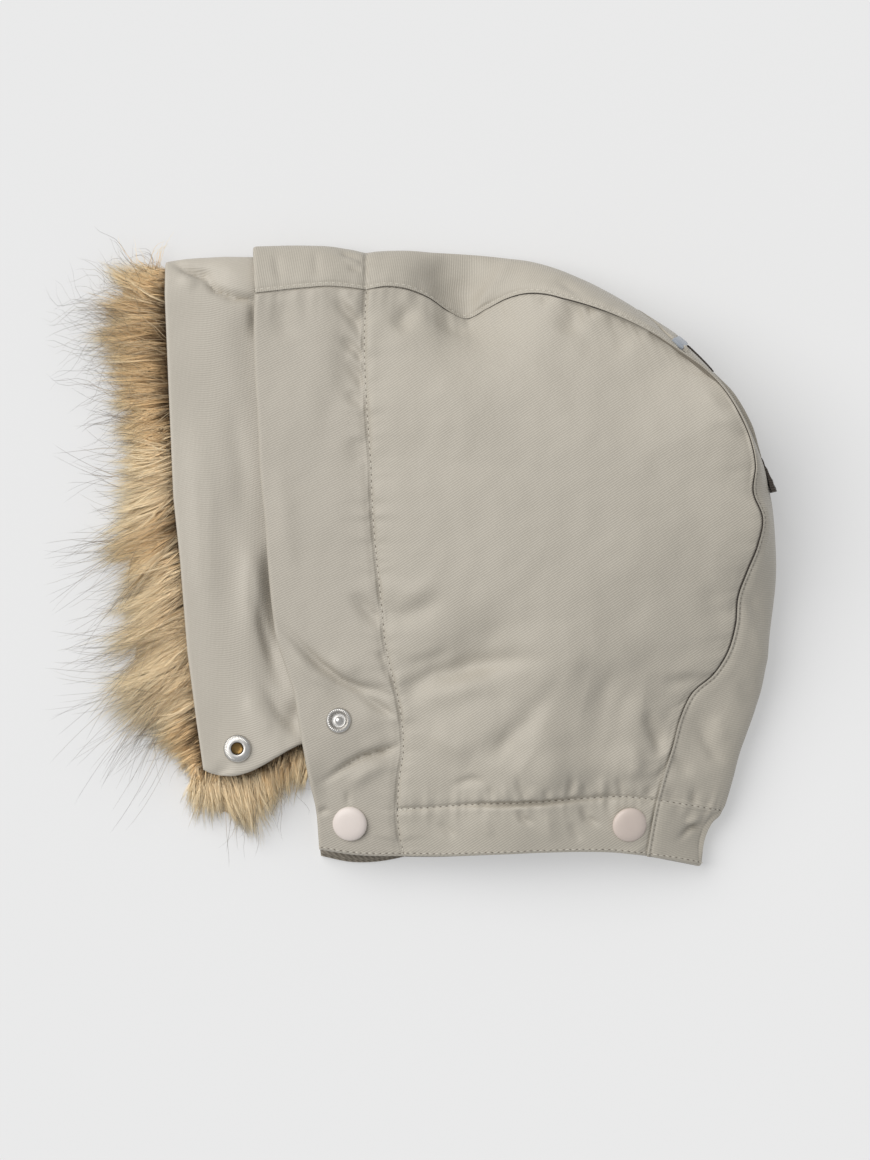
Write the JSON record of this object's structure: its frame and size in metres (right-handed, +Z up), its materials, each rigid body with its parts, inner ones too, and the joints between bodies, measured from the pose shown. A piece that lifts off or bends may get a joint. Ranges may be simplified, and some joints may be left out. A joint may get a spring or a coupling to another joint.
{
  "type": "detachable snowsuit hood",
  "caption": "Small child's padded winter hood, unbuttoned from its suit and lying folded flat on its side, with a detachable fur strip tucked cloth side up into the face opening",
  "frame": {"origin": "on the surface the hood lies on, under the middle of its bounding box", "axes": "+X from the fur and the face opening to the back of the head, +Y from the neck to the crown, +Z up from the surface"},
  "size_m": [0.3052, 0.272, 0.05],
  "materials": {
    "shell": "beige polyester twill over wadding",
    "trim_cloth": "beige polyester twill backing of the fur strip",
    "lining": "dark brown ribbed lining",
    "fur": "tan artificial fur with dark tips",
    "cap": "satin pale pink",
    "snap_metal": "nickel plated",
    "tape": "dark brown hook and loop tape",
    "reflective": "light grey reflective ribbon"
  },
  "bodies": {
    "root": {"side_upper": "shell", "side_lower": "shell", "crown": "shell", "brim_upper": "shell", "brim_lower": "shell", "brim_crown": "shell", "hem_lining": "lining", "trim_band": "trim_cloth", "fur_side": "fur", "fur_end": "fur", "strap_anchor": "shell", "reflective_tab": "reflective", "loop_tape": "tape", "adjuster_strap": "shell", "hook_tape": "tape", "cap_front": "cap", "cap_back": "cap", "cap_front_under": "cap", "cap_back_under": "cap", "stud": "snap_metal", "stud_under": "snap_metal", "socket": "snap_metal", "socket_under": "snap_metal"}
  },
  "joints": []
}
